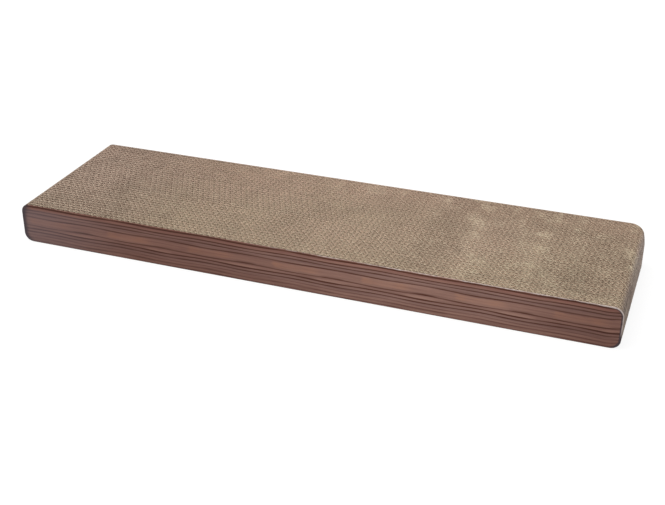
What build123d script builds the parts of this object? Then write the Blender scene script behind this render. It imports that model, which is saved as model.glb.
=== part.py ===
from build123d import *
from math import ceil, sqrt
import os

# A long cardboard cat scratcher: corrugated boards stacked on edge and glued face to face.
# Every board is die-cut to one rounded rectangle, with its flutes upright, so that the top and the
# bottom are a field of open flutes, and a printed paper facing covers each long side.
# Sizes are in millimetres. The origin is the middle of the base, X runs along the length, Y runs
# across the stack from the front facing to the rear one, and Z is up.

# The slab
LENGTH = 840.0
HEIGHT = 57.5
CORNER_RADIUS = 12.5  # of the die-cut outline, at both ends, top and bottom
BOARD_COUNT = 36

# One double-wall board, from front to rear: liner, coarse fluting, liner, fine fluting, liner
LINER_THICKNESS = 0.25
FLUTED_PAPER_THICKNESS = 0.2
COARSE_FLUTE_HEIGHT = 3.45  # from liner to liner
COARSE_FLUTE_PITCH = 8.56
FINE_FLUTE_HEIGHT = 2.4
FINE_FLUTE_PITCH = 6.71

# The printed paper on the long sides
FACING_THICKNESS = 0.4

# How far each layer of a board lies behind the board's front face
COARSE_SETBACK = LINER_THICKNESS
MIDDLE_SETBACK = COARSE_SETBACK + COARSE_FLUTE_HEIGHT
FINE_SETBACK = MIDDLE_SETBACK + LINER_THICKNESS
INNER_SETBACK = FINE_SETBACK + FINE_FLUTE_HEIGHT
BOARD_THICKNESS = INNER_SETBACK + LINER_THICKNESS

STACK_WIDTH = BOARD_COUNT * BOARD_THICKNESS
STACK_FRONT = -STACK_WIDTH / 2


def flat_sheet(front, thickness):
    """A die-cut flat sheet whose front face stands at Y = front."""
    outline = RectangleRounded(LENGTH, HEIGHT, CORNER_RADIUS)
    upright = Pos(0, front, HEIGHT / 2) * Rot(X=90) * outline
    return extrude(upright, thickness, dir=(0, 1, 0))


def upright_prism(corners, bottom, top):
    """A prism from bottom to top over a plan drawn through its corners."""
    plan = make_face(Polyline(*corners, close=True))
    return extrude(Pos(0, 0, bottom) * plan, top - bottom, dir=(0, 0, 1))


def fluting(front, flute_height, pitch):
    """A fluted sheet with upright folds that reach from liner to liner, trimmed to the outline."""
    fold = pitch / 2
    # The slope keeps the paper's thickness: (height - rise)^2 = thickness^2 (1 + (rise / fold)^2)
    lean = 1 - (FLUTED_PAPER_THICKNESS / fold) ** 2
    under_root = flute_height**2 - lean * (flute_height**2 - FLUTED_PAPER_THICKNESS**2)
    rise = (flute_height - sqrt(under_root)) / lean
    fold_count = ceil(LENGTH / fold)
    left = -fold_count * fold / 2
    front_creases = [(left + i * fold, front + rise * (i % 2)) for i in range(fold_count + 1)]
    rear_creases = [(x, y + flute_height - rise) for x, y in reversed(front_creases)]
    folded = upright_prism(front_creases + rear_creases, 0, HEIGHT)
    return folded & flat_sheet(front, flute_height)


def layered_board():
    """The five papers of one double-wall board, by name, with the board's front face at Y = 0."""
    return {
        "outer_liner": flat_sheet(0, LINER_THICKNESS),
        "coarse_fluting": fluting(COARSE_SETBACK, COARSE_FLUTE_HEIGHT, COARSE_FLUTE_PITCH),
        "middle_liner": flat_sheet(MIDDLE_SETBACK, LINER_THICKNESS),
        "fine_fluting": fluting(FINE_SETBACK, FINE_FLUTE_HEIGHT, FINE_FLUTE_PITCH),
        "inner_liner": flat_sheet(INNER_SETBACK, LINER_THICKNESS),
    }


def end_flute(shut_side, open_side, pitch, end):
    """The half flute that the straight cut at one end (-1 or 1) lays open between two liners."""
    cut = end * LENGTH / 2
    corners = [(cut, shut_side), (cut, open_side), (cut - end * pitch / 2, open_side)]
    return upright_prism(corners, CORNER_RADIUS, HEIGHT - CORNER_RADIUS)


def bonded_board():
    """A double-wall board in one piece, closed but for its end flutes, with its front face at Y = 0."""
    board = flat_sheet(0, BOARD_THICKNESS)
    for end in (-1, 1):
        board -= end_flute(COARSE_SETBACK, MIDDLE_SETBACK, COARSE_FLUTE_PITCH, end)
        board -= end_flute(INNER_SETBACK, FINE_SETBACK, FINE_FLUTE_PITCH, end)
    return board


def scratcher():
    """Every piece of the slab by name, from the front facing to the rear one."""
    pieces = {"front_facing": flat_sheet(STACK_FRONT - FACING_THICKNESS, FACING_THICKNESS)}
    for layer, paper in layered_board().items():
        pieces[f"front_board_{layer}"] = Pos(0, STACK_FRONT, 0) * paper
    board = bonded_board()
    for number in range(2, BOARD_COUNT + 1):
        front = STACK_FRONT + (number - 1) * BOARD_THICKNESS
        pieces[f"board_{number:02d}"] = Pos(0, front, 0) * board
    pieces["rear_facing"] = flat_sheet(-STACK_FRONT, FACING_THICKNESS)
    return pieces


os.makedirs("parts", exist_ok=True)
for name, piece in scratcher().items():
    export_step(piece, f"parts/{name}.step")
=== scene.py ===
"""A long cardboard cat scratcher: every flute of its boards, and its wood-grain paper facings."""

import math

import bpy
from bpy.props import FloatProperty, FloatVectorProperty, IntProperty, PointerProperty
from mathutils import Matrix, Vector


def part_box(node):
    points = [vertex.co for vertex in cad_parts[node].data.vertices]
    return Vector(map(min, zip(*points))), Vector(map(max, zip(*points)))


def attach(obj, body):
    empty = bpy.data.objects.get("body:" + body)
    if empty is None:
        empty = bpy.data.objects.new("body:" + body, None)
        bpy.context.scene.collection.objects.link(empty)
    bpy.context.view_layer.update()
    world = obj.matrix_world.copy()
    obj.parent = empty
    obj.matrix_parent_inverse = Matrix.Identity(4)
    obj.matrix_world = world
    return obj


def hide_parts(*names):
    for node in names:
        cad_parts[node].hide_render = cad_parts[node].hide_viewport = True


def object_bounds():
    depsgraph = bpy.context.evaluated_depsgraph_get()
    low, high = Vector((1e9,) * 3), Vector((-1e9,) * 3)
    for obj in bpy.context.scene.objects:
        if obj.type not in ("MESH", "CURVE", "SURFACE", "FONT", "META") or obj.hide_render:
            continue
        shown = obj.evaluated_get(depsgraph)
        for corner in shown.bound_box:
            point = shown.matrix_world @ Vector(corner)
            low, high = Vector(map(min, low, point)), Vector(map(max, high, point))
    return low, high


bl_info = {
    "name": "Cardboard cat scratcher",
    "version": (1, 0, 0),
    "blender": (4, 5, 0),
    "location": "3D View > Sidebar > Scratcher",
    "description": "Builds a block of upright corrugated boards between two printed paper facings",
    "category": "Mesh",
}

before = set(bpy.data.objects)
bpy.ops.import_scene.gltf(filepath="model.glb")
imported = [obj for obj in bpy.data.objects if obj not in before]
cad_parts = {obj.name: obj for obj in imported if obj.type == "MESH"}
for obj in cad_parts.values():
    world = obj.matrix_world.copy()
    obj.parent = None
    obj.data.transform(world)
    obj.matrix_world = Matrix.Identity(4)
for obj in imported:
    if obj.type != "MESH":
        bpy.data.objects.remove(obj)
CAD_LOW, CAD_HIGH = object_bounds()

MM = 0.001
HALF_LENGTH, HEIGHT = CAD_HIGH.x / MM, CAD_HIGH.z / MM
BODY = "root"
BAKE_MAP = "OFBake"  # the map that colours are baked on
FRONT_BOARD_PAPERS = (
    "front_board_outer_liner",
    "front_board_coarse_fluting",
    "front_board_middle_liner",
    "front_board_fine_fluting",
    "front_board_inner_liner",
)


def depth_of(node):
    """How far a node reaches from front to rear."""
    low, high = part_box(node)
    return high.y - low.y


def linked(name, data):
    """A new object in the scene."""
    made = bpy.data.objects.new(name, data)
    bpy.context.scene.collection.objects.link(made)
    return made


# What a user would change


def length_setting(name, description, default):
    """A property that holds a length."""
    return FloatProperty(
        name=name, description=description, default=default, unit="LENGTH", precision=5
    )


def angle_setting(name, description, degrees):
    """A property that holds an angle."""
    return FloatProperty(
        name=name, description=description, default=math.radians(degrees), subtype="ANGLE"
    )


def place_setting(name, description, default):
    """A property that holds a place."""
    return FloatVectorProperty(name=name, description=description, default=default, subtype="XYZ")


def colour_setting(name, description, default):
    """A property that holds a colour."""
    return FloatVectorProperty(
        name=name, description=description, default=default, subtype="COLOR", size=3, min=0, max=1
    )


class BoardSettings(bpy.types.PropertyGroup):
    """Sizes and colours of the corrugated boards."""

    corner_radius: length_setting("Corner radius", "Radius of the outline's corners", 12.5 * MM)
    liner: length_setting("Liner", "Its thickness", depth_of("front_board_outer_liner"))
    fluted_paper: length_setting("Fluted paper", "Its thickness", 0.2 * MM)
    coarse_height: length_setting(
        "Coarse flute height", "From liner to liner", depth_of("front_board_coarse_fluting")
    )
    coarse_pitch: length_setting("Coarse flute pitch", "From crest to crest", 8.56 * MM)
    fine_height: length_setting(
        "Fine flute height", "From liner to liner", depth_of("front_board_fine_fluting")
    )
    fine_pitch: length_setting("Fine flute pitch", "From crest to crest", 6.71 * MM)
    flute_steps: IntProperty(name="Flute steps", description="Faces a flute", default=8, min=4)
    liner_step: length_setting("Liner step", "Length of one face of a liner", 2.5 * MM)
    rim: length_setting("Rim", "How far down the blade bends the paper at a cut edge", 2.5 * MM)
    crush: length_setting("Crush", "How far the blade pushes a cut edge sideways", 0.28 * MM)
    flare: FloatProperty(
        name="Flare", description="How much thicker the paper is at a cut edge", default=0.8, min=0
    )
    raggedness: length_setting("Raggedness", "How far a cut edge falls short", 0.5 * MM)
    seed: IntProperty(name="Seed", description="Varies the cut edges", default=4)
    knock_depth: length_setting("Knock depth", "How far one corner is knocked in", 4 * MM)
    knock_reach: length_setting("Knock reach", "How far across the stack it reaches", 40 * MM)
    knock_radius: length_setting("Knock radius", "Radius of the knocked corner", 20 * MM)
    # The shade colour is painted shade deep in the flutes, and the tone of the darker mottles
    shade: colour_setting("Shade", "Paper in deep and in dark places", (0.255, 0.174, 0.114))
    kraft: colour_setting("Kraft", "Paper in the lighter mottles", (0.765, 0.558, 0.400))
    fluting: colour_setting("Fluting tint", "Tint of the fluted papers", (0.30, 0.27, 0.24))
    cut: colour_setting("Cut edge", "Fresh fibres at a cut", (0.95, 0.82, 0.59))
    rosy: colour_setting("Rosy tint", "Tint towards the rear", (1.0, 0.95, 0.99))
    faded: colour_setting("Faded tint", "Tint towards the left end", (0.945, 0.955, 1.0))
    # The ends' greyer colour, darker at the front and paler at the rear
    end_tone: colour_setting("Dust", "Crushed fibres on the cut ends", (0.455, 0.375, 0.345))
    pale_end_tone: colour_setting("Pale dust", "The same, at the rear", (0.80, 0.695, 0.645))


class FacingSettings(bpy.types.PropertyGroup):
    """Sizes and colours of the printed paper."""

    roll_reach: length_setting("Roll reach", "How far in from its edge it rolls back", 1.6 * MM)
    roll_depth: length_setting("Roll depth", "How far back the rolled edge lies", 0.25 * MM)
    repeat: length_setting("Repeat", "Length after which the printed grain repeats", 124 * MM)
    dark: colour_setting("Dark grain", "Lines of the grain", (0.098, 0.028, 0.014))
    brown: colour_setting("Brown", "Ground of the print", (0.256, 0.128, 0.104))
    light: colour_setting("Light grain", "Light streaks of the grain", (0.51, 0.288, 0.226))
    warm: colour_setting("Warm grain", "Patches in the broad light band", (0.53, 0.27, 0.18))
    darker: colour_setting("Darker tint", "Tint of the darker stretches", (0.69, 0.62, 0.60))
    faded: colour_setting("Faded print", "Greyer print towards the left end", (0.28, 0.22, 0.235))
    mauve: colour_setting("Mauve tint", "Tint of the cooler bands", (0.86, 0.93, 1.0))
    red: colour_setting("Red tint", "Tint along the upper edge", (1.0, 0.84, 0.80))
    # The border colour is painted shade on the rolled ends
    border: colour_setting("Border", "Print on the rolled ends", (0.06, 0.045, 0.055))
    # Bare paper serves both where the print has rubbed off and as a painted highlight on the rolled
    # edge
    paper: colour_setting("Bare paper", "Where the print has rubbed off", (0.77, 0.65, 0.60))


class StageSettings(bpy.types.PropertyGroup):
    """The camera, the lamp and the floor."""

    azimuth: angle_setting("Azimuth", "Camera's turn round the slab", 20.16)
    elevation: angle_setting("Elevation", "Camera's height", 27.68)
    roll: angle_setting("Roll", "Camera's tilt", 0.132)
    distance: length_setting("Distance", "From the camera to what it looks at", 1.6147)
    target: place_setting("Target", "What the camera looks at", (0.00596, -0.00235, 0))
    lens: FloatProperty(name="Lens", description="Focal length", default=62.14, unit="CAMERA")
    sky: FloatProperty(name="Sky", description="Strength of the light from all round", default=0.3)
    key: FloatProperty(name="Key", description="Power of the lamp", default=57, unit="POWER")
    key_size: length_setting("Key size", "Side of the square lamp", 3.0)
    key_place: place_setting("Key place", "Where the lamp hangs", (-0.35, -0.2, 2.2))
    floor: colour_setting("Floor", "Colour of the floor", (0.6, 0.6, 0.6))


class ScratcherSettings(bpy.types.PropertyGroup):
    """All settings of the scratcher."""

    boards: PointerProperty(type=BoardSettings)
    facings: PointerProperty(type=FacingSettings)
    stage: PointerProperty(type=StageSettings)


# Short ways to draw a node tree


def sum_of(operation, swapped=False):
    """A method that makes a sum of a term and other values."""

    def method(self, *others):
        values = (*others, self) if swapped else (self, *others)
        return self.graph.math(operation, *values)

    return method


class Term:
    """A value in a node tree that adds, compares and so on as a number does."""

    def __init__(self, graph, socket):
        self.graph = graph
        self.socket = socket

    __add__ = __radd__ = sum_of("ADD")
    __sub__ = sum_of("SUBTRACT")
    __rsub__ = sum_of("SUBTRACT", swapped=True)
    __mul__ = __rmul__ = sum_of("MULTIPLY")
    __truediv__ = sum_of("DIVIDE")
    __rtruediv__ = sum_of("DIVIDE", swapped=True)
    __abs__ = sum_of("ABSOLUTE")
    __gt__ = sum_of("GREATER_THAN")
    __lt__ = sum_of("LESS_THAN")


class Graph:
    """A node tree that is being drawn."""

    def __init__(self, tree):
        self.tree = tree

    def add(self, kind, inputs=None, **settings):
        """A new node with these settings, fed by values or terms given by socket name or number."""
        node = self.tree.nodes.new(kind)
        for name, value in settings.items():
            setattr(node, name, value)
        for key, value in (inputs or {}).items():
            self.feed(node.inputs[key], value)
        return node

    def feed(self, socket, value):
        """Gives a socket its value, or links it to a term."""
        if isinstance(value, Term):
            self.tree.links.new(value.socket, socket)
        else:
            socket.default_value = value

    def term(self, kind, inputs=None, output=0, **settings):
        """One output of a new node, as a term."""
        return Term(self, self.add(kind, inputs, **settings).outputs[output])

    def math(self, operation, *values):
        """A sum of one, two or three values."""
        return self.term("ShaderNodeMath", dict(enumerate(values)), operation=operation)

    def clamp(self, value):
        """The value held between 0 and 1."""
        return self.term("ShaderNodeClamp", {"Value": value})

    def ramp(self, value, start, end):
        """A smooth rise from 0 at start to 1 at end."""
        return self.term(
            "ShaderNodeMapRange",
            {"Value": value, "From Min": start, "From Max": end},
            interpolation_type="SMOOTHSTEP",
        )

    def vector(self, x, y, z):
        """Three values as one vector."""
        return self.term("ShaderNodeCombineXYZ", {"X": x, "Y": y, "Z": z})

    def parts(self, vector):
        """A vector's three values."""
        node = self.add("ShaderNodeSeparateXYZ", {"Vector": vector})
        return [Term(self, socket) for socket in node.outputs]

    def given(self):
        """The tree's inputs as terms, by their names."""
        sockets = self.add("NodeGroupInput").outputs
        return {socket.name: Term(self, socket) for socket in sockets if socket.name}


class ShaderGraph(Graph):
    """A material's node tree that is being drawn."""

    def noise(self, place, stretch, scale, detail=2.0, roughness=0.5):
        """Soft noise about 0, mostly between -1 and 1, with its three directions scaled."""
        place = self.term("ShaderNodeMapping", {"Vector": place, "Scale": stretch})
        inputs = {"Vector": place, "Scale": scale, "Detail": detail, "Roughness": roughness}
        return (self.term("ShaderNodeTexNoise", inputs) - 0.5) * 4

    def bell(self, value, middle, half_width):
        """1 where a value is at the middle, falling away on both sides."""
        off = (value - middle) / half_width
        return self.math("EXPONENT", off * off * -1)

    def mix(self, share, first, second, blend="MIX"):
        """A colour between two, at that share of the second."""
        node = self.tree.nodes.new("ShaderNodeMix")
        node.data_type = "RGBA"
        node.blend_type = blend
        colours = [socket for socket in node.inputs if socket.type == "RGBA"]
        self.feed(node.inputs["Factor"], share)
        for socket, colour in zip(colours, (first, second)):
            self.feed(socket, colour if isinstance(colour, Term) else (*colour, 1.0))
        return Term(self, next(socket for socket in node.outputs if socket.type == "RGBA"))

    def millimetres(self, place):
        """A place's three values in millimetres."""
        return [value / MM for value in self.parts(place)]

    def attribute(self, name):
        """A value that the mesh keeps under a name."""
        return self.term("ShaderNodeAttribute", output="Fac", attribute_name=name)

    def bump(self, shader, strength, distance, height):
        """Gives a shader's surface a slight relief."""
        inputs = {"Strength": strength, "Distance": distance, "Height": height}
        self.feed(shader.inputs["Normal"], self.term("ShaderNodeBump", inputs, output="Normal"))


def new_material(name):
    """A material, its node tree and the shader in it."""
    material = bpy.data.materials.new(name)
    material.use_nodes = True
    tree = material.node_tree
    return material, ShaderGraph(tree), tree.nodes["Principled BSDF"]


def new_tree(name, output, numbers, counts, materials=()):
    """A geometry tree with these inputs and one output."""
    tree = bpy.data.node_groups.new(name, "GeometryNodeTree")
    kinds = {"NodeSocketFloat": numbers, "NodeSocketInt": counts, "NodeSocketMaterial": materials}
    for kind, names in kinds.items():
        for each in names:
            tree.interface.new_socket(each, in_out="INPUT", socket_type=kind)
    tree.interface.new_socket(output, in_out="OUTPUT", socket_type="NodeSocketGeometry")
    return tree


# The corrugated boards

# Sizes that a board passes on to its papers, and those that only a paper or a board has
SHARED_SIZES = (
    "Length",
    "Height",
    "Corner radius",
    "Rim",
    "Flare",
    "Crush",
    "Raggedness",
    "Right setback",
    "Right radius",
)
PAPER_SIZES = ("Front", "Depth", "Thickness", "Pitch", "Phase", "Darkness", "Pale cut", "Layer")
BOARD_SIZES = (
    "Front",
    "Liner",
    "Liner step",
    "Fluted paper",
    "Coarse height",
    "Coarse pitch",
    "Coarse phase",
    "Fine height",
    "Fine pitch",
    "Fine phase",
)
PROFILE_POINTS = 8
LAST_ROW = PROFILE_POINTS / 2 - 1
LAYER_COUNT = 5
SHARP_ANGLE = math.radians(60)
COARSE_DARKNESS = 0.42
FINE_DARKNESS = 0.76
STEADY_DARKNESS = 0.64  # a fluting as dark as this would be the same from end to end
# On the map a paper is unrolled round its ring and cut into parts. Each row's share of the width,
# from the front's lower rim round to the bottom cut: the cuts and rims get more than their size
MAP_PARTS = 3
MAP_ROWS = (0.09, 0.20, 0.12, 0.09, 0.12, 0.20, 0.09, 0.09)
MAP_GAP = 0.015  # bare share of a part's width at each side
MAP_LEFT, MAP_LENGTH = 0.012, 0.95  # where a part begins, and how long it is
END_CUT_MIDDLE, END_CUT_HALF = 0.987, 0.009
# Spread of a face's ring numbers: above the first at an end cut, above both at the bottom cut
END_CUT_SPREAD, BOTTOM_CUT_SPREAD = 2.0, 9.0
# The first board's shift in pitches, and for each lot of boards: the first, the first of the next
# lot, and the shift from board to board
COARSE_START = 0.17
COARSE_LOTS = ((0, 5, 0.50), (5, 14, 0.63), (14, 26, 0.35), (26, 36, 0.82))
SLANTED_STRIP, STRAIGHT_STRIP = 208, 292  # where the top is scratched most, in millimetres


def paper_tree():
    """Draws one upright die-cut paper: a wall that follows the flutes and ends at the outline.

    A path along the paper carries a ring of eight points, four up its front and four down its rear.
    """
    tree = new_tree("Die-cut paper", "Paper", SHARED_SIZES + PAPER_SIZES, ("Steps", "Seed"))
    graph = Graph(tree)
    size = graph.given()

    # The path has a point at every crest and trough, and ends at the cut ends
    half = size["Length"] * 0.5
    step = size["Pitch"] / size["Steps"]
    first = graph.math("FLOOR", (size["Phase"] - half / size["Pitch"]) * size["Steps"])
    start = (first / size["Steps"] - size["Phase"]) * size["Pitch"]
    right_half = half - size["Right setback"]
    count = graph.math("CEIL", (right_half - start) / step) + 1
    line = graph.term(
        "GeometryNodeMeshLine",
        {
            "Count": count,
            "Start Location": graph.vector(start, 0.0, 0.0),
            "Offset": graph.vector(step, 0.0, 0.0),
        },
    )
    path = graph.term("GeometryNodeMeshToCurve", {"Mesh": line})
    across, _, _ = graph.parts(graph.term("GeometryNodeInputPosition"))
    held = graph.math("MINIMUM", graph.math("MAXIMUM", across, half * -1), right_half)
    path, along = captured(graph, path, held)

    ring_line = graph.term("GeometryNodeMeshLine", {"Count": PROFILE_POINTS})
    ring = graph.term("GeometryNodeMeshToCurve", {"Mesh": ring_line})
    ring = graph.term("GeometryNodeSetSplineCyclic", {"Geometry": ring, "Cyclic": True})
    ring, place = captured(graph, ring, graph.term("GeometryNodeInputIndex"))
    swept = {"Curve": path, "Profile Curve": ring, "Fill Caps": True}
    wall = graph.term("GeometryNodeCurveToMesh", swept)

    # Where a point of the ring is: row 0 at the bottom to row 3 at the top, at the front or rear
    from_middle = place - (PROFILE_POINTS - 1) / 2
    row = LAST_ROW + 0.5 - abs(from_middle)
    side = graph.math("SIGN", from_middle)
    lower = graph.clamp(row)
    upper = graph.clamp(row - 2)
    rim = size["Rim"] / size["Height"]
    share = (lower + upper) * rim + graph.clamp(row - 1) * (1 - rim * 2)

    # The flutes, with the paper's thickness laid off square to them
    swing = (size["Depth"] - size["Thickness"]) * 0.5
    turn = (along / size["Pitch"] + size["Phase"]) * math.tau
    slope = graph.math("SINE", turn) * swing * (-math.tau) / size["Pitch"]
    at_bottom = 1 - lower
    at_edge = at_bottom + upper
    flared = size["Thickness"] * (1 + size["Flare"] * at_edge)
    out = side * flared * 0.5 / graph.math("SQRT", slope * slope + 1)
    x = along - slope * out
    y = size["Front"] + size["Depth"] * 0.5 + graph.math("COSINE", turn) * swing + out

    # The rounded outline, with the top corner at the right end rounded by itself
    to_right = along > 0.0
    past_middle = abs(along) + size["Right setback"] * to_right
    top_radius = size["Corner radius"] + (size["Right radius"] - size["Corner radius"]) * to_right
    base = corner_inset(graph, past_middle, half, size["Corner radius"])
    top = size["Height"] - corner_inset(graph, past_middle, half, top_radius)
    z = base + share * (top - base)
    from_faces = graph.math("MINIMUM", share, 1 - share) * (top - base)
    depth = graph.math("MINIMUM", from_faces, half - past_middle)

    # The blade leaves the cut edges pushed about and a little short
    rough = graph.term(
        "ShaderNodeTexNoise",
        {"Vector": graph.vector(x, y, z), "W": size["Seed"], "Scale": 160.0, "Detail": 1.0},
        output="Color",
        noise_dimensions="4D",
    )
    push_x, push_y, drop = graph.parts(rough)
    x = x + (push_x - 0.5) * 2 * size["Crush"] * at_edge
    y = y + (push_y - 0.5) * 2 * size["Crush"] * at_edge
    z = z + abs(drop - 0.5) * 2 * size["Raggedness"] * (at_bottom - upper)
    moved = {"Geometry": wall, "Position": graph.vector(x, y, z)}
    wall = graph.term("GeometryNodeSetPosition", moved)

    # For the material: how deep a point lies, which the material turns into painted shade inside
    # the flutes, how pale a face is along a cut, most of all on a front crest, and how dark the
    # paper is. For the bake: where a corner lies on the map
    normal_x, _, _ = graph.parts(graph.term("GeometryNodeInputNormal"))
    end = abs(normal_x) > 0.9
    on_top = share > 0.999
    on_base = share < 0.001
    cut = graph.clamp(end + on_top + on_base)
    crest = graph.math("COSINE", turn) * -0.5 + 0.5
    flank = crest * (1 - crest) * 4
    pale = cut * size["Pale cut"] * (0.4 + crest * 0.6 - flank * 0.35)
    spot = unrolled(graph, size, along + half, place, row, side)
    stored = (
        ("depth", depth, "FLOAT", "POINT"),
        ("cut_edge", pale, "FLOAT", "FACE"),
        ("darkness", size["Darkness"], "FLOAT", "FACE"),
        (BAKE_MAP, spot, "FLOAT2", "CORNER"),
    )
    for name, value, kind, domain in stored:
        wall = graph.term(
            "GeometryNodeStoreNamedAttribute",
            {"Geometry": wall, "Name": name, "Value": value},
            data_type=kind,
            domain=domain,
        )
    wall = graph.term("GeometryNodeSetShadeSmooth", {"Geometry": wall, "Shade Smooth": True})
    angle = graph.term("GeometryNodeInputMeshEdgeAngle")
    wall = graph.term(
        "GeometryNodeSetShadeSmooth",
        {"Geometry": wall, "Selection": angle > SHARP_ANGLE, "Shade Smooth": False},
        domain="EDGE",
    )
    graph.add("NodeGroupOutput", {"Paper": wall})
    return tree


def unrolled(graph, size, from_left, place, row, side):
    """Spots on the map: a band for each part of a paper's length, and the end cuts beside them."""

    def on_face(value):
        """The mean of a value over a face's points."""
        for domain in ("POINT", "FACE"):
            value = graph.term(
                "GeometryNodeFieldOnDomain", {0: value}, data_type="FLOAT", domain=domain
            )
        return value

    # An end cut holds the whole ring, and the bottom cut lies where the ring closes
    mean = on_face(place)
    spread = on_face(place * place) - mean * mean
    closing = spread > BOTTOM_CUT_SPREAD
    end_cut = (spread > END_CUT_SPREAD) - closing
    turn = place + closing * (place < 0.5) * PROFILE_POINTS
    around = sum(graph.clamp(turn - i) * share for i, share in enumerate(MAP_ROWS))
    around = around + (row / LAST_ROW - around) * end_cut
    parts_along = from_left / size["Length"] * MAP_PARTS
    part = graph.clamp(on_face(parts_along) / MAP_PARTS)
    part = graph.math("FLOOR", part * (MAP_PARTS - 0.001))
    u = MAP_LEFT + (parts_along - part) * MAP_LENGTH
    u = u + (END_CUT_MIDDLE + side * END_CUT_HALF - u) * end_cut
    v = size["Layer"] * MAP_PARTS + part + MAP_GAP + around * (1 - 2 * MAP_GAP)
    return graph.vector(u, v / (LAYER_COUNT * MAP_PARTS), 0.0)


def corner_inset(graph, past_middle, half, radius):
    """How far a rounded corner lies inside the straight edge, that far along from the middle."""
    past = graph.math("MAXIMUM", past_middle - half + radius, 0.0)
    left = graph.math("MAXIMUM", radius * radius - past * past, 0.0)
    return radius - graph.math("SQRT", left)


def captured(graph, geometry, value):
    """The geometry with a value kept on its points, and the value as a term."""
    node = graph.add("GeometryNodeCaptureAttribute", {"Geometry": geometry}, domain="POINT")
    node.capture_items.new("FLOAT", "Value")
    graph.feed(node.inputs["Value"], value)
    return Term(graph, node.outputs["Geometry"]), Term(graph, node.outputs["Value"])


def board_tree(paper):
    """Draws one double-wall board: three liners with a coarse and a fine fluting between them."""
    sizes = SHARED_SIZES + BOARD_SIZES
    tree = new_tree("Double-wall board", "Board", sizes, ("Flute steps", "Seed"), ("Material",))
    graph = Graph(tree)
    size = graph.given()
    liner = {
        "Depth": size["Liner"],
        "Thickness": size["Liner"],
        "Pitch": size["Liner step"],
        "Phase": 0.0,
        "Steps": 1,
        "Darkness": 0.0,
    }
    # Glue has soaked into the two outer papers, so that their cuts aren't pale
    outer = {**liner, "Pale cut": 0.0}
    middle = {**liner, "Pale cut": 0.65}
    coarse = {
        "Depth": size["Coarse height"],
        "Thickness": size["Fluted paper"],
        "Pitch": size["Coarse pitch"],
        "Phase": size["Coarse phase"],
        "Steps": size["Flute steps"],
        "Darkness": COARSE_DARKNESS,
        "Pale cut": 1.0,
    }
    fine = {
        **coarse,
        "Depth": size["Fine height"],
        "Pitch": size["Fine pitch"],
        "Phase": size["Fine phase"],
        "Darkness": FINE_DARKNESS,
    }
    shared = {name: size[name] for name in (*SHARED_SIZES, "Seed")}
    front = size["Front"]
    joined = graph.add("GeometryNodeJoinGeometry")
    for number, layer in enumerate((outer, coarse, middle, fine, outer)):
        inputs = {**shared, **layer, "Front": front, "Layer": number}
        sheet = graph.term("GeometryNodeGroup", inputs, node_tree=paper)
        graph.feed(joined.inputs["Geometry"], sheet)
        front = front + layer["Depth"]
    whole = Term(graph, joined.outputs["Geometry"])
    whole = graph.term("GeometryNodeRealizeInstances", {"Geometry": whole})
    dressed = {"Geometry": whole, "Material": size["Material"]}
    whole = graph.term("GeometryNodeSetMaterial", dressed)
    graph.add("NodeGroupOutput", {"Board": whole})
    return tree


def fine_phase(board):
    """How far a board's fine flutes are shifted, in pitches: to and fro through the stack."""
    middle, swing, furthest, period = -0.33, 0.14, 17, 14
    return middle + swing * math.cos(math.tau * (board - furthest) / period)


def coarse_phase(board):
    """How far a board's coarse flutes are shifted, in pitches: by a steady step in each lot."""
    shift = sum(step * min(max(board - first, 0), end - first) for first, end, step in COARSE_LOTS)
    return COARSE_START + shift


def right_end(settings, y):
    """The right end's setback at y and the radius of its top corner: one corner is knocked in."""
    share = max(1 - (CAD_HIGH.y - y) / settings.knock_reach, 0.0)
    radius = settings.corner_radius + (settings.knock_radius - settings.corner_radius) * share
    return settings.knock_depth * share, radius


def worn_top(graph, x, y, z, mottles):
    """How much paler the top is where it is rubbed, and how much duller in other places."""
    strips = graph.bell(x, SLANTED_STRIP, 9) + graph.bell(x, STRAIGHT_STRIP, 11)
    rubbed = strips * graph.clamp(0.5 + mottles * 0.5) * 0.38
    rubbed = rubbed + graph.bell(x, 255, 65) * 0.16
    upper = graph.ramp(z, HEIGHT - 12, HEIGHT)
    rubbed = rubbed * graph.ramp(y, 90, -15) * upper
    front_left = graph.ramp(x, -100, -330) * graph.ramp(y, 20, -110)
    front_right = graph.bell(x, 345, 25) * graph.bell(y, -75, 28)
    dull = (
        front_left * 0.09
        + graph.bell(x, -280, 80) * 0.09
        + graph.bell(x, 165, 22) * 0.10
        + graph.ramp(x, -100, 420) * 0.11
        + front_right * 0.16
    )
    return rubbed - dull + graph.bell(x, 90, 210) * 0.07


def strewn_fibres(graph, place, patches, specks, depth):
    """How thickly crushed fibres lie on the top: in two strips, in blotches and as specks."""
    x, y, z = graph.millimetres(place)
    spots = graph.noise(place, (1, 0.7, 0.2), 44, detail=3)
    blotches = graph.ramp(spots, -0.1, 0.7)
    wavy = x + patches * 5
    slanted = graph.bell(wavy + y * 0.25, SLANTED_STRIP, 11)
    slanted = slanted * graph.ramp(y, 100, 50) * graph.ramp(y, -118, -60)
    straight = graph.bell(wavy, STRAIGHT_STRIP, 8)
    straight = straight * (0.7 + graph.ramp(y, -30, -110) * 0.7)
    in_strips = (slanted + straight) * (0.35 + blotches * 0.9)
    at_rear = graph.ramp(y, 70, 100) * graph.bell(x, 90, 160)
    at_right = graph.bell(x, 300, 110)
    at_round = graph.ramp(x, HALF_LENGTH - 24, HALF_LENGTH - 8)
    in_blotches = blotches * (at_rear * 0.32 + at_right * 0.28 + at_round * 0.5 + 0.06)
    strewn = (in_strips * 0.42 + in_blotches) * (1 + specks * 0.6)
    strewn = strewn + graph.ramp(specks, 0.3, 1.2) * 0.24
    upper = graph.ramp(z, HEIGHT - 18, HEIGHT - 6)
    return graph.clamp(strewn * (1 - depth * 0.6) * upper)


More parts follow.
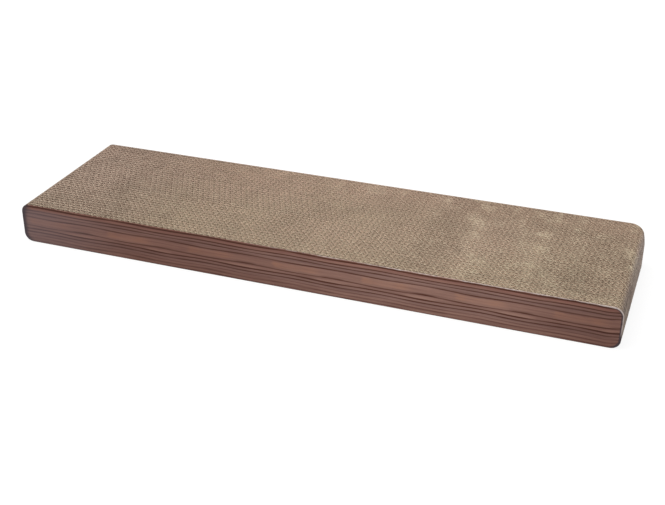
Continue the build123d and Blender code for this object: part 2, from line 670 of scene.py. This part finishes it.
def kraft_material(tone):
    """Brown paper with short fibres, soft mottles, painted shade deep in its flutes, and paler
    fibres along the cuts.
    """
    material, graph, shader = new_material("Kraft paper")
    place = graph.term("ShaderNodeTexCoord", output="Object")
    x, y, z = graph.millimetres(place)

    fibres = graph.noise(place, (1, 1, 0.3), 1500, detail=3)
    specks = graph.noise(place, (1, 1, 0.1), 260, detail=1)
    mottles = graph.noise(place, (1, 0.45, 0.2), 26, detail=3)
    patches = graph.noise(place, (1, 0.7, 0.2), 75, detail=1)
    clouds = graph.noise(place, (1, 1, 0.2), 7, detail=1)
    sheets = graph.noise(place, (0.01, 1, 0), 170, detail=0)

    # Painted shade: the paper darkens with its depth below a cut or an end, in place of the shadow
    # inside the flutes
    depth = graph.ramp(graph.attribute("depth") / MM, 0.1, 2.4)
    worn = worn_top(graph, x, y, z, mottles)
    tone_shift = mottles * 0.13 + patches * 0.09 + clouds * 0.05 + worn
    light = graph.clamp(0.86 + fibres * 0.10 + sheets * 0.10 + tone_shift - depth * 0.8)
    paper = graph.mix(light, tone.shade, tone.kraft)

    # The coarse fluting grows lighter to the right and the fine one darker, as painted shade in
    # place of light that falls differently on the flutes at the two ends, and both fade rearwards
    darkness = graph.attribute("darkness")
    changing = (darkness - STEADY_DARKNESS) * (darkness > 0.1)
    fading = graph.ramp(y, 20, 110)
    darkness = graph.clamp(darkness + changing * x * 0.0045) * (1 - fading * 0.3)
    paper = graph.mix(darkness, paper, tone.fluting, blend="MULTIPLY")

    fresh = graph.attribute("cut_edge") * (1 + fibres * 0.12 + specks * 0.45 + tone_shift)
    pale = graph.clamp(fresh) * (1 - fading * 0.25)
    colour = graph.mix(pale, paper, tone.cut)
    strewn = strewn_fibres(graph, place, patches, specks, depth)
    colour = graph.mix(strewn, colour, tone.cut)

    # The stack's tints, and a greyer colour on its ends, darker at the front and paler at the rear
    rosy = graph.clamp(0.55 + clouds * 0.35 + y * 0.004 - x * 0.0008)
    colour = graph.mix(rosy, colour, tone.rosy, blend="MULTIPLY")
    faded = graph.ramp(x, -150, -420)
    colour = graph.mix(faded, colour, tone.faded, blend="MULTIPLY")
    on_ends = graph.ramp(abs(x), HALF_LENGTH - 9, HALF_LENGTH - 1) * 0.65
    end_tone = graph.mix(graph.ramp(y, CAD_LOW.y / MM, CAD_HIGH.y / MM), tone.end_tone, tone.pale_end_tone)
    graph.feed(shader.inputs["Base Color"], graph.mix(on_ends, colour, end_tone))
    graph.feed(shader.inputs["Roughness"], graph.clamp(0.88 + fibres * 0.05))
    shader.inputs["Specular IOR Level"].default_value = 0.25
    graph.bump(shader, 0.35, 0.08 * MM, fibres)
    return material


def realised(name, tree, values):
    """An object that holds the plain mesh that a tree makes from these values."""
    holder = linked(name + "_tree", bpy.data.meshes.new(name + "_tree"))
    modifier = holder.modifiers.new("Tree", "NODES")
    modifier.node_group = tree
    identifiers = {item.name: item.identifier for item in tree.interface.items_tree}
    for key, value in values.items():
        modifier[identifiers[key]] = value
    evaluated = holder.evaluated_get(bpy.context.evaluated_depsgraph_get())
    mesh = bpy.data.meshes.new_from_object(evaluated)
    mesh.name = name
    if not mesh.polygons:
        raise RuntimeError(f"the tree made no faces for {name}")
    unused = holder.data
    bpy.data.objects.remove(holder)
    bpy.data.meshes.remove(unused)
    return linked(name, mesh)


class SCRATCHER_OT_boards(bpy.types.Operator):
    """Stacks the corrugated boards on edge"""

    bl_idname = "scratcher.boards"
    bl_label = "Corrugated boards"

    def execute(self, context):
        settings = context.scene.scratcher.boards
        others = [(name,) for name in sorted(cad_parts) if name.startswith("board_")]
        tree = board_tree(paper_tree())
        values = {
            "Length": CAD_HIGH.x - CAD_LOW.x,
            "Height": CAD_HIGH.z - CAD_LOW.z,
            "Material": kraft_material(settings),
        }
        for name in (*SHARED_SIZES, *BOARD_SIZES, "Flute steps", "Seed"):
            setting = name.lower().replace(" ", "_")
            if setting in settings.__annotations__:
                values[name] = getattr(settings, setting)
        for board, replaced in enumerate([FRONT_BOARD_PAPERS, *others]):
            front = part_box(replaced[0])[0].y
            values["Front"] = front
            values["Right setback"], values["Right radius"] = right_end(settings, front)
            values["Coarse phase"] = coarse_phase(board)
            values["Fine phase"] = fine_phase(board)
            piece = realised(f"corrugated_board_{board + 1:02d}", tree, values)
            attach(piece, BODY)
            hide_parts(*replaced)
        return {"FINISHED"}


# The printed facings

# Height and half width in millimetres, and strength, of each dark line of the printed grain
GRAIN_LINES = (
    (55.0, 1.25, 1.05),
    (49.1, 0.8, 0.95),
    (44.8, 0.85, 0.80),
    (39.2, 1.0, 0.78),
    (33.2, 0.9, 0.12),
    (26.0, 1.0, 0.75),
    (20.4, 1.0, 1.00),
    (15.6, 0.95, 0.85),
    (10.9, 0.8, 0.42),
    (6.4, 1.2, 0.52),
    (1.5, 1.0, 0.50),
)
ROLL_STEPS = (0.0, 0.12, 0.3, 0.55, 0.8, 1.1)  # where the rolled edge has points, in its reaches
COLUMN_STEP, ROW_STEP = 9 * MM, 6 * MM  # how far apart a facing's points are inside it
CORNER_STEPS = 12
RIM_ANGLE = math.radians(50)
# On the map the outside is cut into parts, one above the other, with the inside and the rim on top
FACING_PARTS = 4
PART_HEIGHT = 0.22
PART_MARGIN, SHEET_MARGIN = 0.05, 0.01
INSIDE_LOW, INSIDE_HEIGHT = 0.89, 0.05
RIM_LOW, RIM_HIGH = 0.96, 0.99


def corner_drop(past_middle, radius):
    """How far a rounded corner lies inside the straight edge, that far along from the middle."""
    past = max(past_middle - CAD_HIGH.x + radius, 0.0)
    return radius - math.sqrt(max(radius**2 - past**2, 0.0))


def steps_from_edge(reach, far, spacing):
    """Distances from an edge: close together on its roll, then evenly on to a far line."""
    near = [share * reach for share in ROLL_STEPS]
    count = max(math.ceil((far - near[-1]) / spacing), 1)
    even = [near[-1] + (far - near[-1]) * (i + 1) / count for i in range(count)]
    return near + even


class FacingShape:
    """The rounded outline of one facing, whose top right corner has a radius of its own."""

    def __init__(self, radius, setback, right_radius):
        self.radius = radius
        self.setback = setback
        self.right_radius = right_radius

    def past_middle(self, x):
        """How far along a place is from the middle, counted to the full length at either end."""
        return x + self.setback if x > 0 else -x

    def top_radius(self, x):
        """Radius of the top corner at this side."""
        return self.right_radius if x > 0 else self.radius

    def base(self, x):
        """Height of the lower edge."""
        return corner_drop(self.past_middle(x), self.radius)

    def top(self, x):
        """Height of the upper edge."""
        return CAD_HIGH.z - corner_drop(self.past_middle(x), self.top_radius(x))

    def from_edge(self, x, z):
        """How far inside the outline a point lies."""
        middle = CAD_HIGH.z / 2
        radius = self.top_radius(x) if z > middle else self.radius
        over_x = self.past_middle(x) - (CAD_HIGH.x - radius)
        over_z = abs(z - middle) - (middle - radius)
        if over_x > 0 and over_z > 0:
            return radius - math.hypot(over_x, over_z)
        return radius - max(over_x, over_z)


def facing_lines(shape, reach):
    """Where a facing's columns of points stand, and each row's share of its height."""
    right = CAD_HIGH.x - shape.setback
    turns = [math.radians(90 / CORNER_STEPS * i) for i in range(CORNER_STEPS)]
    corner = [shape.right_radius * (1 - math.sin(turn)) for turn in turns]
    from_end = sorted(set(steps_from_edge(reach, right, COLUMN_STEP)) | set(corner))
    columns = [step - CAD_HIGH.x for step in from_end if step < right]
    columns += [right - step for step in reversed(from_end)]
    shares = [step / CAD_HIGH.z for step in steps_from_edge(reach, CAD_HIGH.z / 2, ROW_STEP)]
    shares += [1 - share for share in reversed(shares[:-1])]
    return columns, shares


def inset(share, margin):
    """A share of a strip whose two ends are left bare."""
    return margin + share * (1 - 2 * margin)


def facing_mesh(name, inner, outer, shape, settings):
    """A closed sheet that rolls back along its edge, with each point's distance from the edge."""
    reach = settings.roll_reach
    outward = math.copysign(1.0, outer - inner)
    columns, shares = facing_lines(shape, reach)
    points = []
    distances = []
    for x in columns:
        for share in shares:
            z = shape.base(x) + share * (shape.top(x) - shape.base(x))
            distance = max(shape.from_edge(x, z), 0.0)
            rolled = max(1 - distance / reach, 0.0) ** 2
            points.append((x, outer - outward * settings.roll_depth * rolled, z))
            points.append((x, inner, z))
            distances += [distance, distance]
    rows = len(shares)
    last_column = len(columns) - 1

    def at(column, row, back):
        """Number of a point of the outer or the inner face."""
        return (column * rows + row) * 2 + back

    def parts_along(column):
        """How many parts of the map lie left of a column."""
        return (columns[column] - CAD_LOW.x) / (CAD_HIGH.x - CAD_LOW.x) * FACING_PARTS

    def on_outside(part, column, row):
        """Where a point of the outer face lies on the map."""
        across = inset(parts_along(column) - part, PART_MARGIN)
        return across, (part + inset(shares[row], SHEET_MARGIN)) * PART_HEIGHT

    def on_inside(column, row):
        """Where a point of the inner face lies on the map."""
        across = inset(column / last_column, SHEET_MARGIN)
        return across, INSIDE_LOW + shares[row] * INSIDE_HEIGHT

    # Each face as its points with their places on the map
    faces = []
    for column in range(last_column):
        part = min(int(parts_along(column)), FACING_PARTS - 1)
        for row in range(rows - 1):
            square = ((column, row), (column + 1, row), (column + 1, row + 1), (column, row + 1))
            faces.append([(at(*place, 0), on_outside(part, *place)) for place in square])
            faces.append([(at(*place, 1), on_inside(*place)) for place in reversed(square)])
    border = [(column, 0) for column in range(last_column)]
    border += [(last_column, row) for row in range(rows - 1)]
    border += [(column, rows - 1) for column in range(last_column, 0, -1)]
    border += [(0, row) for row in range(rows - 1, 0, -1)]
    for i, (here, there) in enumerate(zip(border, border[1:] + border[:1])):
        left, right = (inset(step / len(border), SHEET_MARGIN) for step in (i, i + 1))
        faces.append(
            [
                (at(*there, 0), (right, RIM_LOW)),
                (at(*here, 0), (left, RIM_LOW)),
                (at(*here, 1), (left, RIM_HIGH)),
                (at(*there, 1), (right, RIM_HIGH)),
            ]
        )
    if outward > 0:
        faces = [face[::-1] for face in faces]
    mesh = bpy.data.meshes.new(name)
    mesh.from_pydata(points, [], [[point for point, _ in face] for face in faces])
    spots = [value for face in faces for _, spot in face for value in spot]
    mesh.uv_layers.new(name=BAKE_MAP).uv.foreach_set("vector", spots)
    mesh.attributes.new("from_edge", "FLOAT", "POINT").data.foreach_set("value", distances)
    mesh.shade_smooth()
    mesh.set_sharp_from_angle(angle=RIM_ANGLE)
    return mesh


def grain_material(tone):
    """Paper printed with brown wood grain, with painted shade on its rolled ends, and bare with a
    painted highlight at the upper right.
    """
    repeat = tone.repeat / MM
    material, graph, shader = new_material("Wood-grain paper")
    place = graph.term("ShaderNodeTexCoord", output="Object")
    x, _, z = graph.millimetres(place)

    def swell(middle):
        """1 at a place and at each of its repeats, -1 half way between them."""
        return graph.math("COSINE", (x - middle) * (math.tau / repeat))

    # The lines bend together and apart along the length, and wander a little
    wander = graph.noise(place, (1, 0, 2.2), 15, detail=1)
    wave = swell(-10)
    lower_turn = graph.ramp(z, 21.5, 25.5)
    upper_turn = graph.ramp(z, 40, 46)
    bend = (1 - lower_turn * 2 + upper_turn * 1.7) * 0.65
    turned_up = graph.ramp(x, HALF_LENGTH - 22, HALF_LENGTH + 4) * 2.6
    level = z - bend * wave + wander * 0.3 - turned_up

    broken = graph.noise(place, (1, 0, 9), 24, detail=2)
    streaks = graph.noise(place, (0.03, 0, 1), 330, detail=3, roughness=0.6)
    hairs = graph.noise(place, (0.02, 0, 1), 1300, detail=2)
    flecks = graph.noise(place, (0.10, 0, 1), 800, detail=2)
    pores = graph.ramp(flecks, 0.9, 1.5)
    lines = 0.0
    for height, half_width, strength in GRAIN_LINES:
        lines = graph.bell(level, height, half_width) * strength + lines

    # The strongest line swells at every repeat, under a light eye and a dark wedge
    swollen = graph.bell(level, 19.9, 1.1) * graph.ramp(swell(34), 0.1, 1.0)
    wedge = graph.bell(level, 27.4, 1.0) * graph.ramp(swell(48), 0.55, 1.0)
    eye = graph.bell(level, 22.5, 0.9) * graph.ramp(swell(44), 0.2, 1.0)
    lines = lines + swollen * 0.4 + wedge * 0.35

    # Warm patches with ragged ends in the broad band above them
    ragged = flecks * 0.30 + streaks * 0.15 + broken * 0.15
    run = graph.math("FRACT", (x + 38) / repeat + ragged * 0.08)
    patch = graph.ramp(run, 0.0, 0.05) * graph.ramp(run, 0.62, 0.42)
    lobes = graph.ramp(swell(-36) + ragged, 0.5, 1.1)
    lobes = lobes + graph.ramp(swell(25) + ragged, 0.5, 1.1)
    band = graph.ramp(level, 27.5, 31) * graph.ramp(level, 38.8, 36.2)
    between = band * (1 - patch) * (0.10 + streaks * 0.12)

    light = 0.61 + streaks * 0.34 + flecks * 0.10 + hairs * 0.16 + eye * 0.6 + band * 0.16
    colour = graph.mix(graph.clamp(light), tone.brown, tone.light)
    warm = band * patch * (0.32 + lobes * 0.35 + flecks * 0.2)
    colour = graph.mix(graph.clamp(warm), colour, tone.warm)
    cool = graph.bell(level, 44, 4.5) * 0.8 + graph.bell(level, 15, 5) * 0.6
    colour = graph.mix(cool, colour, tone.mauve, blend="MULTIPLY")
    reddish = graph.ramp(level, 48, 53) * (0.6 + x * 0.0005)
    colour = graph.mix(reddish, colour, tone.red, blend="MULTIPLY")
    dark = lines * (1.14 + broken * 0.40) + between + pores * 0.25 - streaks * 0.16 - eye * 0.35
    colour = graph.mix(graph.clamp(dark), colour, tone.dark)

    # The facing is darker left of the middle and at the right end, and greyer at the left end
    darker = 1 - graph.ramp(x, -190, 150) + graph.ramp(x, 240, 430)
    colour = graph.mix(darker, colour, tone.darker, blend="MULTIPLY")
    greyed = graph.ramp(x, -230, -420) * graph.ramp(z, 54, 49) * 0.34
    colour = graph.mix(greyed, colour, tone.faded)

    inside = graph.attribute("from_edge") / MM
    # Painted shade along the rolled ends, wider at the left end
    colour = graph.mix(painted_end_shade(graph, x, z, inside), colour, tone.border)
    # Bare paper where the print has rubbed off, which also paints a highlight on the rolled upper
    # edge towards the right
    worn = bare_and_highlit_edge(graph, place, inside)
    graph.feed(shader.inputs["Base Color"], graph.mix(worn, colour, tone.paper))
    graph.feed(shader.inputs["Roughness"], graph.clamp(0.5 + streaks * 0.05 + worn * 0.3))
    shader.inputs["Specular IOR Level"].default_value = 0.2
    graph.bump(shader, 0.25, 0.05 * MM, streaks * 0.5 + hairs * 0.5 - lines * 0.6)
    return material


def painted_end_shade(graph, x, z, inside):
    """How much painted shade lies along the rolled ends. The painted shade is wider at the left."""
    near_end = graph.ramp(abs(x), HALF_LENGTH - 18, HALF_LENGTH - 4)
    at_left = x < 0.0
    reach = 3.5 + at_left * (graph.ramp(z, 34, 54) * 4 + 6)
    return graph.ramp(inside, reach, 2.2) * near_end * 0.9


def bare_and_highlit_edge(graph, place, inside):
    """How bare the paper is, with a painted highlight on its rolled edge, from the middle of its
    upper edge round to the right end.
    """
    x, _, z = graph.millimetres(place)
    to_right = graph.ramp(x, -250, 330)
    at_corner = graph.ramp(x, HALF_LENGTH - 60, HALF_LENGTH - 10)
    rubs = graph.noise(place, (1, 1, 1), 34, detail=4, roughness=0.65)
    upper = graph.ramp(z, 16, 30)
    rim = to_right * 1.15 - 0.25 + rubs * 0.9 + at_corner * 0.45
    worn = graph.ramp(inside - rim, 0.5, -0.3) * upper * graph.clamp(to_right * 2)
    return graph.clamp(worn * (0.8 + rubs * 0.4 + at_corner * 0.25))


class SCRATCHER_OT_facings(bpy.types.Operator):
    """Covers the two long sides with printed paper"""

    bl_idname = "scratcher.facings"
    bl_label = "Printed facings"

    def execute(self, context):
        settings = context.scene.scratcher.facings
        boards = context.scene.scratcher.boards
        material = grain_material(settings)
        for node in ("front_facing", "rear_facing"):
            low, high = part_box(node)
            inner, outer = sorted((low.y, high.y), key=abs)
            shape = FacingShape(boards.corner_radius, *right_end(boards, outer))
            name = f"printed_{node}"
            piece = linked(name, facing_mesh(name, inner, outer, shape, settings))
            piece.data.materials.append(material)
            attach(piece, BODY)
            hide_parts(node)
        return {"FINISHED"}


# The stage

SENSOR_WIDTH = 36  # millimetres, as the focal length
FLOOR_REACH = 20.0
FLOOR_SHADOW = (0.2, 0.2, 0.2, 1)  # the share of its light that is seen, for a faint shadow
FLOOR_GLOW = 0.865  # its own white by the slab, which rises to full white further off
GLOW_NEAR, GLOW_FAR = 0.6, 2.5


def set_camera(scene, stage):
    """Puts the camera where the slab is seen from above its front right."""
    turn, rise = stage.azimuth, stage.elevation
    level = math.cos(rise)
    back = Vector((math.sin(turn) * level, -math.cos(turn) * level, math.sin(rise)))
    right = Vector((0, 0, 1)).cross(back).normalized()
    up = back.cross(right)
    tilted_right = math.cos(stage.roll) * right + math.sin(stage.roll) * up
    tilted_up = math.cos(stage.roll) * up - math.sin(stage.roll) * right
    data = bpy.data.cameras.new("Camera")
    data.sensor_fit = "HORIZONTAL"
    data.sensor_width = SENSOR_WIDTH
    data.lens = stage.lens
    camera = linked("Camera", data)
    axes = Matrix((tilted_right, tilted_up, back)).transposed()
    stand = Vector(stage.target) + back * stage.distance
    camera.matrix_world = Matrix.Translation(stand) @ axes.to_4x4()
    scene.camera = camera


def seen_directly(graph):
    """1 where a ray comes from the camera, a mirror or glass, and 0 where it carries light."""
    path = graph.add("ShaderNodeLightPath")
    kinds = ("Camera", "Glossy", "Transmission")
    rays = [Term(graph, path.outputs[f"Is {kind} Ray"]) for kind in kinds]
    return graph.clamp(rays[0] + rays[1] + rays[2])


def set_world(scene, stage):
    """White all round where it is seen, and a softer light on the slab."""
    world = bpy.data.worlds.new("Studio")
    world.use_nodes = True
    graph = ShaderGraph(world.node_tree)
    background = world.node_tree.nodes["Background"]
    seen = seen_directly(graph)
    graph.feed(background.inputs["Strength"], seen + (1 - seen) * stage.sky)
    background.inputs["Color"].default_value = (1, 1, 1, 1)
    scene.world = world


def floor_material(stage, corner_radius):
    """A pale floor that looks white, but for a faint shadow, and is dark under the slab."""
    material, graph, shader = new_material("Pale floor")
    graph.tree.nodes.remove(shader)
    plain = graph.term("ShaderNodeBsdfDiffuse", {"Color": (*stage.floor, 1)})
    faint = graph.term("ShaderNodeBsdfDiffuse", {"Color": FLOOR_SHADOW})
    place = graph.term("ShaderNodeTexCoord", output="Object")
    away = graph.term("ShaderNodeVectorMath", {0: place}, output="Value", operation="LENGTH")
    x, y, _ = graph.parts(place)
    under = (abs(x) < CAD_HIGH.x - corner_radius) * (abs(y) < CAD_HIGH.y)
    white = FLOOR_GLOW + graph.ramp(away, GLOW_NEAR, GLOW_FAR) * (1 - FLOOR_GLOW)
    strength = white * (1 - under)
    glow = graph.term("ShaderNodeEmission", {"Color": (1, 1, 1, 1), "Strength": strength})
    seen = graph.term("ShaderNodeAddShader", {0: faint, 1: glow})
    floor = graph.term("ShaderNodeMixShader", {0: seen_directly(graph), 1: plain, 2: seen})
    graph.feed(graph.tree.nodes["Material Output"].inputs["Surface"], floor)
    return material


def set_floor(material):
    """Lays the floor under the slab."""
    corners = [
        (x * FLOOR_REACH, y * FLOOR_REACH, 0) for x, y in ((-1, -1), (1, -1), (1, 1), (-1, 1))
    ]
    mesh = bpy.data.meshes.new("floor")
    mesh.from_pydata(corners, [], [(0, 1, 2, 3)])
    mesh.materials.append(material)
    floor = linked("floor", mesh)


def set_lamp(stage):
    """Hangs a large soft lamp over the slab."""
    lamp = bpy.data.lights.new("Overhead softbox", "AREA")
    lamp.shape = "RECTANGLE"
    lamp.size = stage.key_size
    lamp.size_y = stage.key_size
    lamp.energy = stage.key
    softbox = linked("Overhead softbox", lamp)
    softbox.location = stage.key_place
    softbox.rotation_euler = (-Vector(softbox.location)).to_track_quat("-Z", "Y").to_euler()


class SCRATCHER_OT_stage(bpy.types.Operator):
    """Sets the camera, the floor and the soft lamp"""

    bl_idname = "scratcher.stage"
    bl_label = "Stage"

    def execute(self, context):
        scene = context.scene
        stage = scene.scratcher.stage
        scene.view_settings.view_transform = "Standard"
        set_camera(scene, stage)
        set_world(scene, stage)
        set_floor(floor_material(stage, scene.scratcher.boards.corner_radius))
        set_lamp(stage)
        return {"FINISHED"}


class SCRATCHER_PT_sidebar(bpy.types.Panel):
    """Lists the scratcher's settings and the steps that build it"""

    bl_label = "Cardboard cat scratcher"
    bl_idname = "SCRATCHER_PT_sidebar"
    bl_space_type = "VIEW_3D"
    bl_region_type = "UI"
    bl_category = "Scratcher"

    def draw(self, context):
        settings = context.scene.scratcher
        for part in ("boards", "facings", "stage"):
            box = self.layout.box()
            group = getattr(settings, part)
            for name in group.__annotations__:
                box.prop(group, name)
            box.operator(f"scratcher.{part}")


CLASSES = (
    BoardSettings,
    FacingSettings,
    StageSettings,
    ScratcherSettings,
    SCRATCHER_OT_boards,
    SCRATCHER_OT_facings,
    SCRATCHER_OT_stage,
    SCRATCHER_PT_sidebar,
)


def register():
    """Makes the settings, the operators and the panel known."""
    for each in CLASSES:
        bpy.utils.register_class(each)
    bpy.types.Scene.scratcher = PointerProperty(type=ScratcherSettings)


def unregister():
    """Undoes register."""
    del bpy.types.Scene.scratcher
    for each in reversed(CLASSES):
        bpy.utils.unregister_class(each)


def main():
    """Builds the slab piece by piece, then the stage."""
    register()
    bpy.ops.scratcher.boards()
    bpy.ops.scratcher.facings()
    bpy.ops.scratcher.stage()


if __name__ == "__main__":
    main()
